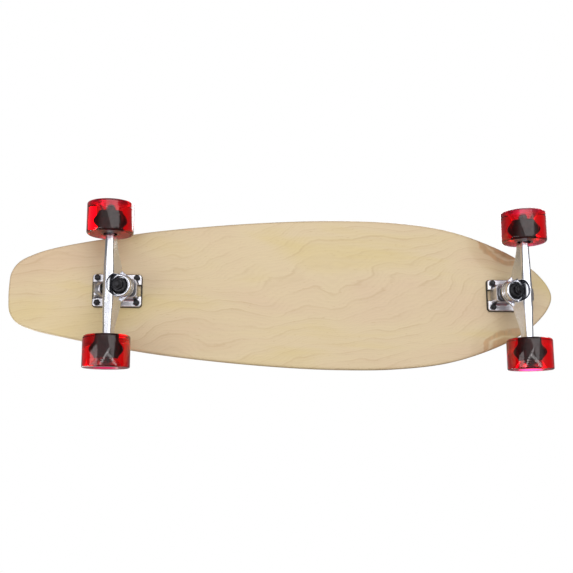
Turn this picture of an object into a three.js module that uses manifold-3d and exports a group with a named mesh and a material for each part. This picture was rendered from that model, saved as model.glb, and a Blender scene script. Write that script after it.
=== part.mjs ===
// Kicktail longboard skateboard: a flat maple deck with a raised tail, two
// traditional-kingpin trucks on riser pads, and four clear urethane wheels.
//
// Millimetres. +X points to the nose, +Y to the rider's left, +Z up. The board
// stands on its wheels, so the ground is z = 0 and the origin is under its middle.

import * as THREE from 'three';
import { mergeVertices } from 'three/addons/utils/BufferGeometryUtils.js';
import { ConvexGeometry } from 'three/addons/geometries/ConvexGeometry.js';
import Module from 'manifold-3d';

const wasm = await Module();
wasm.setup();

// ---------------------------------------------------------------- dimensions

// Deck
const DECK_THICKNESS = 11.5;
const DECK_HALF_LENGTH = 460;
const KICK_START_X = -353;          // where the tail begins to rise
const KICK_ANGLE = rad(17);
const KICK_RADIUS = 202;            // of the underside, through the bend
const GRIP_THICKNESS = 0.8;
const GRIP_INSET = 1.5;             // the tape stops short of the deck's edge
const SKIN_GAP = 0.1;               // between two flat faces that touch

// Plan of one half of the deck, nose tip to tail, as [x, half width].
const HALF_OUTLINE = [
  [460, 0], [453.5, 19.5], [431.5, 45.3], [397.5, 70], [345, 94], [272, 115.5],
  [182, 126], [92, 127.5], [2, 124.2], [-118, 114.5], [-238, 99.9], [-358, 77.7],
  [-418, 63], [-445, 50.3], [-457.3, 33], [-460, 12],
];

// Wheel wells, shallow scoops in the underside over each wheel, cut by a flattened ball
const WELL_BALL = { x: 111, y: 84, z: 11.5 };
const WELL_Y = 96;
const WELL_DEPTH = { nose: 3.5, tail: 1.2 };

// Trucks: where they sit and how their parts line up
const TRUCK_X = { tail: -280, nose: 383.5 };
const AXLE_DROP = 60;               // deck underside to axle centre
const AXLE_OUTBOARD = 8.65;         // axle centre outboard of the bolt pattern's centre
const KINGPIN_LEAN = rad(15);       // nut end leans outboard, towards the axle
const RING_CENTRE = { inboard: 11, drop: 47.5 };
const PIVOT = { inboard: -21, drop: 20 };

// Riser pad and baseplate
const BOLT_SPACING = { x: 63.5, y: 41.3 };
const BOLT_HOLE_RADIUS = 2.9;
const RISER = { length: 81, width: 55.5, height: 3, corner: 6 };
const PLATE = { length: 79, width: 53.5, height: 4.5, corner: 5 };
const NOTCH = { start: 33.6, halfWidth: 10 };
const SLOT = { y: 13.2, width: 1.6, length: 8 };
const BOSS_HALF_WIDTH = 15;
const BOSS_START_X = 2;
const SEAT_RADIUS = 13.4;
const KINGPIN_HOLE_RADIUS = 5.1;
const HEAD_POCKET = { radius: 8.4, x: 18.4, low: -18.5 };
const CUP = { radius: 9.2, mouth: -3.2, foot: 8.2 };    // from the stem's tip centre
const HOUSING = { mouthRadius: 11.6, radius: 12, footRadius: 9, mouth: -3, foot: 9.5 };
const HOUSING_FOOT = { x: [-36, -12], halfWidth: 11.5 };

// Kingpin stack, as distances along the kingpin from the ring's centre
const SEAT_AT = -19;
const WASHER = { thickness: 1.3, boardRadius: 13.4, roadRadius: 11 };
const RING_HALF = 3;
const RING_RADIUS = 17.6;
const RING_HOLE_RADIUS = 9.6;
const COLLAR_HALF = 4.6;            // half thickness of the ring's outer collar
const SEAT_RIM = 11;                // top of the wall round the road-side bushing
const TOP_BUSHING_END = 13.5;
const KINGPIN_RADIUS = 4.76;
const KINGPIN_ENDS = [-30, 25];
const KINGPIN_NUT_FLATS = 14.3;
const KINGPIN_NUT_HEIGHT = 8;

// Hanger and axle
const HANGER_HALF_WIDTH = 90;
const BEAM_END_RADIUS = 7.4;
const BEAM_MID_RADIUS = 9.2;
const STEM_TIP_RADIUS = 6.2;
const STEM_ROOT = [[10.5, 14], [9.5, 22]];              // [radius, distance along the stem]
const STEM_TIP_START = 36;
const SHOULDER = { x: [8, 15], y: 31 };                 // the flange's two corners
const BUSHING_SEAT = { radius: 13.9, depth: 9 };
const LOWER_RECESS_RADIUS = 15;
const NUT_CLEARANCE = { x: 11.6, y: 14.1, flare: 1.24, flareFrom: 20, flareTo: 28 };
const WASHER_HOLLOW = { x: 14.2, y: 17.5, z: 14 };      // a half ball on the seat's rim
// An arm's web at its root and its tip: an ellipse seen along the axle.
const WEB_ROOT = { y: 14, x: -7.5, z: -11, halfX: 12, halfZ: 7 };
const WEB_TIP = { y: 79.5, x: -6, z: -5, halfX: 6.5, halfZ: 4.5 };
const AXLE_RADIUS = 3.95;
const AXLE_HALF_LENGTH = 126;
const AXLE_NUT_FLATS = 12.7;
const AXLE_NUT_HEIGHT = 7.5;

// Wheels, with distances across the wheel counted from its inner face
const WHEEL_RADIUS = 37;
const WHEEL_WIDTH = 50.5;
const WHEEL_CENTRE_Y = 105.8;
const LIP_RADIUS = 4.5;
const CORE = { start: 1, end: 36, tubeRadius: 13.4, flangeRadius: 18, flange: [16, 29] };
const BEARING = { outer: 10.9, inner: 4.3, width: 7, starts: [10.7, 27.7] };
const BORE_GAP = 0.3;

// Deck bolts and their nuts
const BOLT_RADIUS = 2.4;
const BOLT_HEAD_RADIUS = 4.6;
const BOLT_HEAD_HEIGHT = 2.4;
const LOCK_NUT_FLATS = 9.5;
const LOCK_NUT_HEIGHT = 5.6;

const DECK_BOTTOM = WHEEL_RADIUS + AXLE_DROP;
const DECK_TOP = DECK_BOTTOM + DECK_THICKNESS;
const WHEEL_INNER_Y = WHEEL_CENTRE_Y - WHEEL_WIDTH / 2;
const RISER_BOTTOM = -SKIN_GAP - RISER.height;
const PLATE_TOP = RISER_BOTTOM - SKIN_GAP;
const PLATE_BOTTOM = PLATE_TOP - PLATE.height;

// ----------------------------------------------------------------- materials

function finish(color, roughness, metalness = 0) {
  return new THREE.MeshStandardMaterial({ color, roughness, metalness });
}

const maple = finish(0xdec8a0, 0.55);
const gripTape = finish(0x1c1c1d, 0.95);
const riserRubber = finish(0x16130f, 0.75);
const polishedAluminium = finish(0xd4d4d8, 0.22, 1);
const blackSteel = finish(0x1b1a1c, 0.4, 0.7);
const zincSteel = finish(0xa9abb0, 0.35, 1);
const blackUrethane = finish(0x141414, 0.45);
const redUrethane = finish(0xcc0a28, 0.15);
const coreNylon = finish(0x121011, 0.5);

// ------------------------------------------------------------ shape functions

function rad(degrees) {
  return (degrees * Math.PI) / 180;
}

// A closed mesh with shared vertices, no slivers and its faces pointing out.
function closed(geometry) {
  const bare = geometry.clone();
  for (const name of Object.keys(bare.attributes)) {
    if (name !== 'position') bare.deleteAttribute(name);
  }
  const merged = mergeVertices(bare, 1e-4);
  const position = merged.attributes.position;
  const corners = merged.index.array;
  const faces = [];
  const a = new THREE.Vector3();
  const b = new THREE.Vector3();
  const c = new THREE.Vector3();
  let volume = 0;
  for (let i = 0; i < corners.length; i += 3) {
    const [p, q, r] = [corners[i], corners[i + 1], corners[i + 2]];
    if (p === q || q === r || r === p) continue;
    a.fromBufferAttribute(position, p);
    b.fromBufferAttribute(position, q);
    c.fromBufferAttribute(position, r);
    volume += a.dot(b.cross(c));
    faces.push([p, q, r]);
  }
  const index = faces.flatMap(([p, q, r]) => (volume < 0 ? [p, r, q] : [p, q, r]));
  const result = new THREE.BufferGeometry();
  result.setAttribute('position', position);
  result.setIndex(index);
  return result;
}

function solid(geometry) {
  const { attributes, index } = closed(geometry);
  return new wasm.Manifold(new wasm.Mesh({
    numProp: 3,
    vertProperties: new Float32Array(attributes.position.array),
    triVerts: new Uint32Array(index.array),
  }));
}

function geometryOf(manifold) {
  const mesh = manifold.getMesh();
  const geometry = new THREE.BufferGeometry();
  geometry.setAttribute('position', new THREE.BufferAttribute(mesh.vertProperties, 3));
  geometry.setIndex(new THREE.BufferAttribute(mesh.triVerts, 1));
  return geometry;
}

function join(shapes) {
  return shapes.map(solid).reduce((whole, next) => whole.add(next));
}

function cut(body, tools) {
  return tools.map(solid).reduce((whole, next) => whole.subtract(next), body);
}

// A profile of [radius, height] points turned about +Z.
function turned(profile, segments = 12) {
  const points = profile.map(([r, z]) => new THREE.Vector2(r, z));
  return new THREE.LatheGeometry(points, segments).rotateX(Math.PI / 2);
}

function rod(radius, low, high, segments = 12) {
  return turned([[0, low], [radius, low], [radius, high], [0, high]], segments);
}

// A ring with a rectangular section, turned about +Z.
function ring(outer, inner, low, high, segments = 12) {
  return turned([[inner, low], [outer, low], [outer, high], [inner, high], [inner, low]], segments);
}

// Profile points of a round end, from its rim at a height to its top on the axis.
function quarterCircle(radius, height) {
  const points = [0, 22.5, 45, 67.5].map((degrees) => [
    radius * Math.cos(rad(degrees)), height + radius * Math.sin(rad(degrees)),
  ]);
  return [...points, [0, height + radius]];
}

// A flat plate between two heights.
function plate(shape, low, high, curveSegments = 6) {
  const settings = { depth: high - low, bevelEnabled: false, curveSegments };
  return new THREE.ExtrudeGeometry(shape, settings).translate(0, 0, low);
}

function roundedRectangle(length, width, corner) {
  const x = length / 2;
  const y = width / 2;
  const shape = new THREE.Shape();
  shape.absarc(x - corner, y - corner, corner, 0, rad(90));
  shape.absarc(-x + corner, y - corner, corner, rad(90), rad(180));
  shape.absarc(-x + corner, -y + corner, corner, rad(180), rad(270));
  shape.absarc(x - corner, -y + corner, corner, rad(270), rad(360));
  shape.closePath();
  return shape;
}

function hexagonNut(acrossFlats, holeRadius, low, high) {
  const corner = acrossFlats / Math.sqrt(3);
  const shape = new THREE.Shape();
  for (let i = 0; i < 6; i += 1) {
    const angle = rad(60 * i);
    const point = [corner * Math.cos(angle), corner * Math.sin(angle)];
    if (i === 0) shape.moveTo(...point);
    else shape.lineTo(...point);
  }
  shape.closePath();
  shape.holes.push(new THREE.Path().absarc(0, 0, holeRadius, 0, rad(360), true));
  return plate(shape, low, high, 6);
}

// Points of a circle in the plane across the kingpin, or across Y for the beam.
function circle(radius, count, place) {
  return Array.from({ length: count }, (_, i) => {
    const angle = (2 * Math.PI * i) / count;
    return place(radius * Math.cos(angle), radius * Math.sin(angle));
  });
}

function vector(x, y, z) {
  return new THREE.Vector3(x, y, z);
}

function piece(name, geometry, material) {
  const mesh = new THREE.Mesh(closed(geometry), material);
  mesh.name = name;
  return mesh;
}

// ---------------------------------------------------------------------- deck

function deckOutline(inset) {
  const half = HALF_OUTLINE.map(([x, y]) => vector(x, y, 0));
  const mirrored = HALF_OUTLINE.slice(1).reverse().map(([x, y]) => vector(x, -y, 0));
  const curve = new THREE.CatmullRomCurve3([...half, ...mirrored], true, 'centripetal');
  const shape = new THREE.Shape();
  const steps = 84;
  for (let i = 0; i < steps; i += 1) {
    const point = curve.getPointAt(i / steps);
    const tangent = curve.getTangentAt(i / steps);
    const x = point.x - inset * tangent.y;
    const y = point.y + inset * tangent.x;
    if (i === 0) shape.moveTo(x, y);
    else shape.lineTo(x, y);
  }
  shape.closePath();
  return shape;
}

// A point of the bent sheet, at a distance along it from the kick's start and
// at a height over the underside.
function kickPoint(along, height) {
  const arcLength = KICK_RADIUS * KICK_ANGLE;
  const angle = Math.min(along, arcLength) / KICK_RADIUS;
  const radius = KICK_RADIUS - height;
  const straight = Math.max(0, along - arcLength);
  const x = KICK_START_X - radius * Math.sin(angle) - straight * Math.cos(angle);
  const z = DECK_BOTTOM + KICK_RADIUS - radius * Math.cos(angle) + straight * Math.sin(angle);
  return [x, z];
}

// The sheet between two heights over the underside, seen from the side and
// pulled across the board, before its outline is cut.
function bentSheet(low, high) {
  const nose = DECK_HALF_LENGTH + 20;
  const arcLength = KICK_RADIUS * KICK_ANGLE;
  const stops = [0, 0.2, 0.4, 0.6, 0.8, 1].map((part) => part * arcLength);
  stops.push(arcLength + 80);
  const under = stops.map((along) => kickPoint(along, low));
  const over = stops.map((along) => kickPoint(along, high)).reverse();
  const profile = [[nose, DECK_BOTTOM + low], ...under, ...over, [nose, DECK_BOTTOM + high]];
  const shape = new THREE.Shape(profile.map(([x, z]) => new THREE.Vector2(x, z)));
  return plate(shape, -150, 150).rotateX(Math.PI / 2);
}

function cutToOutline(sheet, inset) {
  const column = plate(deckOutline(inset), DECK_BOTTOM - 20, DECK_TOP + 80);
  return solid(sheet).intersect(solid(column));
}

function boltPlaces() {
  const places = [];
  for (const [end, x] of Object.entries(TRUCK_X)) {
    for (const i of [0, 1, 2, 3]) {
      const dx = (i < 2 ? 0.5 : -0.5) * BOLT_SPACING.x;
      const dy = (i % 2 === 0 ? 0.5 : -0.5) * BOLT_SPACING.y;
      places.push({ end, number: i + 1, x: x + dx, y: dy });
    }
  }
  return places;
}

function wheelPlaces() {
  const places = [];
  for (const [end, x] of Object.entries(TRUCK_X)) {
    const outboard = Math.sign(x);
    for (const [side, sign] of [['left', 1], ['right', -1]]) {
      places.push({ end, side, sign, x: x + outboard * AXLE_OUTBOARD });
    }
  }
  return places;
}

function buildDeck() {
  const wells = wheelPlaces().map(({ end, sign, x }) => new THREE.SphereGeometry(1, 32, 24)
    .scale(WELL_BALL.x, WELL_BALL.y, WELL_BALL.z)
    .translate(x, sign * WELL_Y, DECK_BOTTOM - WELL_BALL.z + WELL_DEPTH[end]));
  const countersink = [
    [0, DECK_BOTTOM - 1], [BOLT_HOLE_RADIUS, DECK_BOTTOM - 1],
    [BOLT_HOLE_RADIUS, DECK_TOP - BOLT_HEAD_HEIGHT - 0.4],
    [BOLT_HEAD_RADIUS + 0.6, DECK_TOP], [BOLT_HEAD_RADIUS + 0.6, DECK_TOP + 1], [0, DECK_TOP + 1],
  ];
  const holes = boltPlaces().map(({ x, y }) => turned(countersink).translate(x, y, 0));
  const body = cutToOutline(bentSheet(0, DECK_THICKNESS), 0);
  return piece('deck', geometryOf(cut(body, [...wells, ...holes])), maple);
}

function buildGripTape() {
  const low = DECK_THICKNESS + SKIN_GAP;
  const sheet = cutToOutline(bentSheet(low, low + GRIP_THICKNESS), GRIP_INSET);
  const holes = boltPlaces().map(({ x, y }) => rod(BOLT_HEAD_RADIUS + 0.5, DECK_TOP - 1, DECK_TOP + 3, 12)
    .translate(x, y, 0));
  return piece('grip_tape', geometryOf(cut(sheet, holes)), gripTape);
}

function buildDeckBolt({ end, number, x, y }) {
  const tip = DECK_BOTTOM + PLATE_BOTTOM - LOCK_NUT_HEIGHT - 1.2;
  const profile = [
    [0, tip], [BOLT_RADIUS, tip], [BOLT_RADIUS, DECK_TOP - BOLT_HEAD_HEIGHT],
    [BOLT_HEAD_RADIUS, DECK_TOP - 0.2], [BOLT_HEAD_RADIUS, DECK_TOP], [0, DECK_TOP],
  ];
  const bolt = piece(`${end}_deck_bolt_${number}`, turned(profile, 10), blackSteel);
  bolt.position.set(x, y, 0);
  return bolt;
}

function buildLockNut({ end, number, x, y }) {
  const high = PLATE_BOTTOM - SKIN_GAP;
  const shape = hexagonNut(LOCK_NUT_FLATS, BOLT_RADIUS + 0.35, high - LOCK_NUT_HEIGHT, high);
  const nut = piece(`${end}_lock_nut_${number}`, shape, blackSteel);
  nut.position.set(x, y, DECK_BOTTOM);
  return nut;
}

// -------------------------------------------------------------------- trucks
//
// A truck is built with +X inboard, towards the middle of the board, and with
// z = 0 at the deck's underside. Its kingpin group has +Z along the kingpin
// towards the nut, +X outboard, and its origin at the ring's centre.

function toKingpin(inboard, drop) {
  const dx = inboard - RING_CENTRE.inboard;
  const dz = drop - RING_CENTRE.drop;
  return {
    x: -dx * Math.cos(KINGPIN_LEAN) - dz * Math.sin(KINGPIN_LEAN),
    z: -dx * Math.sin(KINGPIN_LEAN) + dz * Math.cos(KINGPIN_LEAN),
  };
}

// From the kingpin frame back to the truck frame.
function toTruck(geometry) {
  return geometry.rotateY(Math.PI + KINGPIN_LEAN)
    .translate(RING_CENTRE.inboard, 0, -RING_CENTRE.drop);
}

const AXLE_AT = toKingpin(-AXLE_OUTBOARD, AXLE_DROP);
const PIVOT_AT = toKingpin(PIVOT.inboard, PIVOT.drop);
const STEM_TILT = Math.atan2(PIVOT_AT.x, PIVOT_AT.z);
const STEM_LENGTH = Math.hypot(PIVOT_AT.x, PIVOT_AT.z);

// From a +Z profile about the steering axis, z = 0 at the ring's centre and
// z = STEM_LENGTH at the pivot, to the kingpin frame.
function alongSteeringAxis(geometry) {
  return geometry.rotateY(STEM_TILT);
}

function alongAxle(geometry) {
  return geometry.rotateX(-Math.PI / 2).translate(AXLE_AT.x, 0, AXLE_AT.z);
}

function buildRiser(end) {
  const shape = roundedRectangle(RISER.length, RISER.width, RISER.corner);
  for (const i of [0, 1, 2, 3]) {
    const x = (i < 2 ? 0.5 : -0.5) * BOLT_SPACING.x;
    const y = (i % 2 === 0 ? 0.5 : -0.5) * BOLT_SPACING.y;
    shape.holes.push(new THREE.Path().absarc(x, y, BOLT_HOLE_RADIUS, 0, rad(360), true));
  }
  const window = new THREE.Path();
  window.moveTo(NOTCH.start - 4, -NOTCH.halfWidth + 1);
  window.lineTo(NOTCH.start - 4, NOTCH.halfWidth - 1);
  window.lineTo(RISER.length / 2 - 2, NOTCH.halfWidth - 1);
  window.lineTo(RISER.length / 2 - 2, -NOTCH.halfWidth + 1);
  window.closePath();
  shape.holes.push(window);
  return piece(`${end}_riser_pad`, plate(shape, RISER_BOTTOM, -SKIN_GAP), riserRubber);
}

function buildBaseplate(end) {
  const base = plate(roundedRectangle(PLATE.length, PLATE.width, PLATE.corner), PLATE_BOTTOM, PLATE_TOP);

  // The boss that the kingpin stands in, with a seat across the kingpin.
  const seat = circle(SEAT_RADIUS, 16, (x, y) => vector(x, y, SEAT_AT));
  const seatPoints = toTruck(new THREE.BufferGeometry().setFromPoints(seat)).attributes.position;
  const bossPoints = seat.map((_, i) => vector(0, 0, 0).fromBufferAttribute(seatPoints, i));
  for (const y of [-BOSS_HALF_WIDTH, BOSS_HALF_WIDTH]) {
    bossPoints.push(vector(BOSS_START_X, y, PLATE_BOTTOM + 1));
    bossPoints.push(vector(NOTCH.start - 0.4, 0.85 * y, PLATE_BOTTOM + 1));
    bossPoints.push(vector(NOTCH.start - 0.4, 0.6 * y, -RING_CENTRE.drop + 16));
  }
  const boss = new ConvexGeometry(bossPoints);

  // The housing of the pivot cup, leaning along the steering axis.
  const mouth = STEM_LENGTH + HOUSING.mouth;
  const foot = STEM_LENGTH + HOUSING.foot;
  const housingProfile = [
    [HOUSING.mouthRadius, mouth], [HOUSING.radius, foot - 3], [HOUSING.footRadius, foot],
  ];
  const housingRings = housingProfile.flatMap(([radius, z]) => (
    circle(radius, 16, (x, y) => vector(x, y, z))));
  const housingCloud = new THREE.BufferGeometry().setFromPoints(housingRings);
  const housingAt = toTruck(alongSteeringAxis(housingCloud)).attributes.position;
  const housingPoints = housingRings.map((_, i) => vector(0, 0, 0).fromBufferAttribute(housingAt, i));
  for (const x of HOUSING_FOOT.x) {
    for (const y of [-HOUSING_FOOT.halfWidth, HOUSING_FOOT.halfWidth]) {
      housingPoints.push(vector(x, y, PLATE_BOTTOM + 1));
    }
  }
  const housing = new ConvexGeometry(housingPoints);

  const tools = [
    toTruck(rod(KINGPIN_HOLE_RADIUS, KINGPIN_ENDS[0], SEAT_AT + 5)),
    toTruck(rod(HEAD_POCKET.radius - 0.6, KINGPIN_ENDS[0] - 3, KINGPIN_ENDS[0] + 5.4)),
    rod(HEAD_POCKET.radius, HEAD_POCKET.low, 0).translate(HEAD_POCKET.x, 0, 0),
    toTruck(alongSteeringAxis(rod(CUP.radius + 0.3, mouth - 5, STEM_LENGTH + CUP.foot + 0.4))),
  ];
  const notchLength = PLATE.length / 2 + 5 - NOTCH.start;
  tools.push(new THREE.BoxGeometry(notchLength, 2 * NOTCH.halfWidth, 3 * PLATE.height)
    .translate(NOTCH.start + notchLength / 2, 0, PLATE_BOTTOM));
  for (const y of [-SLOT.y, SLOT.y]) {
    tools.push(new THREE.BoxGeometry(2 * SLOT.length, SLOT.width, 3 * PLATE.height)
      .translate(-PLATE.length / 2, y, PLATE_BOTTOM));
  }
  for (const i of [0, 1, 2, 3]) {
    const x = (i < 2 ? 0.5 : -0.5) * BOLT_SPACING.x;
    const y = (i % 2 === 0 ? 0.5 : -0.5) * BOLT_SPACING.y;
    tools.push(rod(BOLT_HOLE_RADIUS, PLATE_BOTTOM - 1, PLATE_TOP + 1, 12).translate(x, y, 0));
  }
  const body = cut(join([base, boss, housing]), tools);
  return piece(`${end}_baseplate`, geometryOf(body), polishedAluminium);
}

// A urethane cup that carries the hanger's stem in the baseplate.
function buildPivotCup(end) {
  const tip = STEM_LENGTH;
  const bowl = quarterCircle(STEM_TIP_RADIUS + 0.4, tip).reverse();
  const profile = [
    ...bowl, [STEM_TIP_RADIUS + 0.6, tip + CUP.mouth], [CUP.radius, tip + CUP.mouth],
    [CUP.radius, tip + CUP.foot], [0, tip + CUP.foot],
  ];
  return piece(`${end}_pivot_cup`, alongSteeringAxis(turned(profile)), blackUrethane);
}

function buildKingpin(end) {
  const [low, high] = KINGPIN_ENDS;
  const profile = [
    [0, low], [6.6, low], [7.2, low + 1], [7.2, low + 5], [KINGPIN_RADIUS, low + 5],
    [KINGPIN_RADIUS, high - 1.2], [KINGPIN_RADIUS - 1.2, high], [0, high],
  ];
  return piece(`${end}_kingpin`, turned(profile), blackSteel);
}

function buildHanger(end) {
  // The arms: a round beam round the axle, thicker at the middle.
  const beamProfile = [
    [0, -HANGER_HALF_WIDTH], [BEAM_END_RADIUS, -HANGER_HALF_WIDTH], [BEAM_END_RADIUS, -70],
    [BEAM_MID_RADIUS, -26], [BEAM_MID_RADIUS, 26], [BEAM_END_RADIUS, 70],
    [BEAM_END_RADIUS, HANGER_HALF_WIDTH], [0, HANGER_HALF_WIDTH],
  ];
  const beam = alongAxle(turned(beamProfile, 20));

  // The webs: a fin on the board side of each arm that narrows towards the wheel.
  const webs = [-1, 1].map((side) => new ConvexGeometry([WEB_ROOT, WEB_TIP].flatMap((web) => (
    circle(1, 12, (x, z) => vector(
      AXLE_AT.x + web.x + web.halfX * x,
      side * web.y,
      AXLE_AT.z + web.z + web.halfZ * z,
    ))))));

  // The ring round the kingpin, and the flange with its two swept shoulders.
  const collar = rod(RING_RADIUS, -COLLAR_HALF, SEAT_RIM, 24);
  const flange = new ConvexGeometry([-RING_HALF - 2.4, -RING_HALF + 1].flatMap((z) => [
    ...circle(RING_RADIUS + 1.2, 24, (x, y) => vector(x, y, z)),
    ...[-1, 1].flatMap((side) => SHOULDER.x.map((x) => vector(x, side * SHOULDER.y, z))),
  ]));

  // The neck between the ring and the beam.
  const neck = new ConvexGeometry([
    ...[-COLLAR_HALF, COLLAR_HALF].flatMap((z) => (
      circle(RING_RADIUS, 24, (x, y) => vector(Math.max(x, 0), y, z)))),
    ...[-24, 24].flatMap((y) => circle(BEAM_MID_RADIUS, 16, (x, z) => (
      vector(AXLE_AT.x + x, y, AXLE_AT.z + z)))),
  ]);

  // The stem, with a round tip that sits in the pivot cup.
  const stem = alongSteeringAxis(turned([
    [0, STEM_ROOT[0][1]], ...STEM_ROOT, [STEM_TIP_RADIUS, STEM_TIP_START],
    ...quarterCircle(STEM_TIP_RADIUS, STEM_LENGTH),
  ], 20));

  const { flare, flareFrom, flareTo } = NUT_CLEARANCE;
  const beyond = flareTo + 12;
  const clearance = [
    [0, RING_HALF], [1, RING_HALF], [1, flareFrom], [flare, flareTo], [flare, beyond], [0, beyond],
  ];
  const tools = [
    rod(RING_HOLE_RADIUS, -RING_HALF - 10, RING_HALF + 30, 20),
    rod(BUSHING_SEAT.radius, RING_HALF, RING_HALF + BUSHING_SEAT.depth, 20),
    rod(LOWER_RECESS_RADIUS, SEAT_AT - 3, -RING_HALF, 20),
    turned(clearance, 20).scale(NUT_CLEARANCE.x, NUT_CLEARANCE.y, 1),
    turned([[0, 0], ...quarterCircle(1, 0)], 20)
      .scale(WASHER_HOLLOW.x, WASHER_HOLLOW.y, WASHER_HOLLOW.z)
      .translate(0, 0, SEAT_RIM),
    alongAxle(rod(AXLE_RADIUS + BORE_GAP, -HANGER_HALF_WIDTH - 1, HANGER_HALF_WIDTH + 1, 12)),
  ];
  const body = cut(join([beam, ...webs, collar, flange, neck, stem]), tools);
  return piece(`${end}_hanger`, geometryOf(body), polishedAluminium);
}

function buildBushings(end) {
  const low = SEAT_AT + WASHER.thickness + 0.1;
  const bore = KINGPIN_RADIUS + 0.3;
  const barrel = [
    [bore, low], [13, low], [14.2, low + 3], [14.2, -RING_HALF - 4], [13.4, -RING_HALF - 0.2],
    [bore, -RING_HALF - 0.2], [bore, low],
  ];
  const cone = [
    [bore, RING_HALF + 0.2], [12.9, RING_HALF + 0.2], [12.9, RING_HALF + 2.5], [10.4, TOP_BUSHING_END],
    [bore, TOP_BUSHING_END], [bore, RING_HALF + 0.2],
  ];
  return [
    piece(`${end}_bushing_board_side`, turned(barrel), blackUrethane),
    piece(`${end}_bushing_road_side`, turned(cone), blackUrethane),
  ];
}

function buildWashers(end) {
  const bore = KINGPIN_RADIUS + 0.3;
  const low = TOP_BUSHING_END + 0.1;
  const board = ring(WASHER.boardRadius, bore, SEAT_AT + 0.3, SEAT_AT + WASHER.thickness);
  const road = ring(WASHER.roadRadius, bore, low, low + WASHER.thickness);
  return [
    piece(`${end}_washer_board_side`, board, zincSteel),
    piece(`${end}_washer_road_side`, road, blackSteel),
  ];
}

function buildKingpinNut(end) {
  const low = TOP_BUSHING_END + WASHER.thickness + 0.2;
  const shape = hexagonNut(KINGPIN_NUT_FLATS, KINGPIN_RADIUS + 0.3, low, low + KINGPIN_NUT_HEIGHT);
  return piece(`${end}_kingpin_nut`, shape.rotateZ(rad(30)), blackSteel);
}

function buildAxle(end) {
  const axle = piece(`${end}_axle`, rod(AXLE_RADIUS, -AXLE_HALF_LENGTH, AXLE_HALF_LENGTH, 12), zincSteel);
  axle.rotation.x = -Math.PI / 2;
  axle.position.set(-AXLE_OUTBOARD, 0, -AXLE_DROP);
  return axle;
}

function buildTruck(end) {
  const kingpinGroup = new THREE.Group();
  kingpinGroup.rotation.y = Math.PI + KINGPIN_LEAN;
  kingpinGroup.position.set(RING_CENTRE.inboard, 0, -RING_CENTRE.drop);
  kingpinGroup.add(buildPivotCup(end), buildKingpin(end), buildHanger(end));
  kingpinGroup.add(...buildBushings(end), ...buildWashers(end), buildKingpinNut(end));

  const truck = new THREE.Group();
  truck.add(buildRiser(end), buildBaseplate(end), buildAxle(end), kingpinGroup);
  truck.position.set(TRUCK_X[end], 0, DECK_BOTTOM);
  truck.rotation.z = end === 'nose' ? Math.PI : 0;
  return truck;
}

// -------------------------------------------------------------------- wheels
//
// A wheel is turned about +Z, with z = 0 at its inner face, the one nearer the
// middle of the board, and is then laid along the axle.

function buildTyre(name) {
  const gap = BORE_GAP;
  const profile = [
    [CORE.tubeRadius + gap, CORE.start], [CORE.tubeRadius + gap, CORE.flange[0] - gap],
    [CORE.flangeRadius + gap, CORE.flange[0] - gap], [CORE.flangeRadius + gap, CORE.flange[1] + gap],
    [CORE.tubeRadius + gap, CORE.flange[1] + gap], [CORE.tubeRadius + gap, CORE.end],
    [CORE.tubeRadius + 3, WHEEL_WIDTH - 4], [CORE.tubeRadius + 6, WHEEL_WIDTH],
  ];
  for (let i = 0; i <= 2; i += 1) {
    const angle = rad(90 - 45 * i);
    profile.push([
      WHEEL_RADIUS - LIP_RADIUS * (1 - Math.cos(angle)),
      WHEEL_WIDTH - LIP_RADIUS * (1 - Math.sin(angle)),
    ]);
  }
  for (let i = 0; i <= 2; i += 1) {
    const angle = rad(45 * i);
    profile.push([
      WHEEL_RADIUS - LIP_RADIUS * (1 - Math.cos(angle)),
      LIP_RADIUS * (1 - Math.sin(angle)),
    ]);
  }
  profile.push([CORE.tubeRadius + 2, 0], profile[0]);
  return piece(name, turned(profile, 24), redUrethane);
}

function buildCore(name) {
  const seatRadius = BEARING.outer + BORE_GAP / 2;
  const [innerSeat, outerSeat] = BEARING.starts;
  const innerEnd = innerSeat + BEARING.width + 0.1;
  const profile = [
    [seatRadius, CORE.start], [CORE.tubeRadius, CORE.start], [CORE.tubeRadius, CORE.flange[0]],
    [CORE.flangeRadius, CORE.flange[0]], [CORE.flangeRadius, CORE.flange[1]],
    [CORE.tubeRadius, CORE.flange[1]], [CORE.tubeRadius, CORE.end], [seatRadius, CORE.end],
    [seatRadius, outerSeat - 0.1], [9.4, outerSeat - 0.1], [9.4, innerEnd], [seatRadius, innerEnd],
    [seatRadius, CORE.start],
  ];
  return piece(name, turned(profile), coreNylon);
}

function buildWheel({ end, side, sign, x }) {
  const name = `${end}_${side}`;
  const wheel = new THREE.Group();
  wheel.add(buildTyre(`${name}_wheel_tyre`), buildCore(`${name}_wheel_core`));
  for (const [i, place] of ['inner', 'outer'].entries()) {
    const low = BEARING.starts[i];
    const shape = ring(BEARING.outer, BEARING.inner, low, low + BEARING.width);
    wheel.add(piece(`${name}_bearing_${place}`, shape, zincSteel));
  }
  const nutLow = BEARING.starts[1] + BEARING.width + 1.2;
  const nut = hexagonNut(AXLE_NUT_FLATS, AXLE_RADIUS + 0.3, nutLow, nutLow + AXLE_NUT_HEIGHT);
  wheel.add(piece(`${name}_axle_nut`, nut, blackSteel));
  wheel.rotation.x = -sign * Math.PI / 2;
  wheel.position.set(x, sign * WHEEL_INNER_Y, WHEEL_RADIUS);
  return wheel;
}

// --------------------------------------------------------------------- board

const board = new THREE.Group();
board.add(buildDeck(), buildGripTape());
board.add(...boltPlaces().map(buildDeckBolt), ...boltPlaces().map(buildLockNut));
board.add(buildTruck('tail'), buildTruck('nose'));
board.add(...wheelPlaces().map(buildWheel));

export default board;
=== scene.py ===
import math

import bmesh
import bpy
import numpy as np
from mathutils import Matrix, Vector


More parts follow.
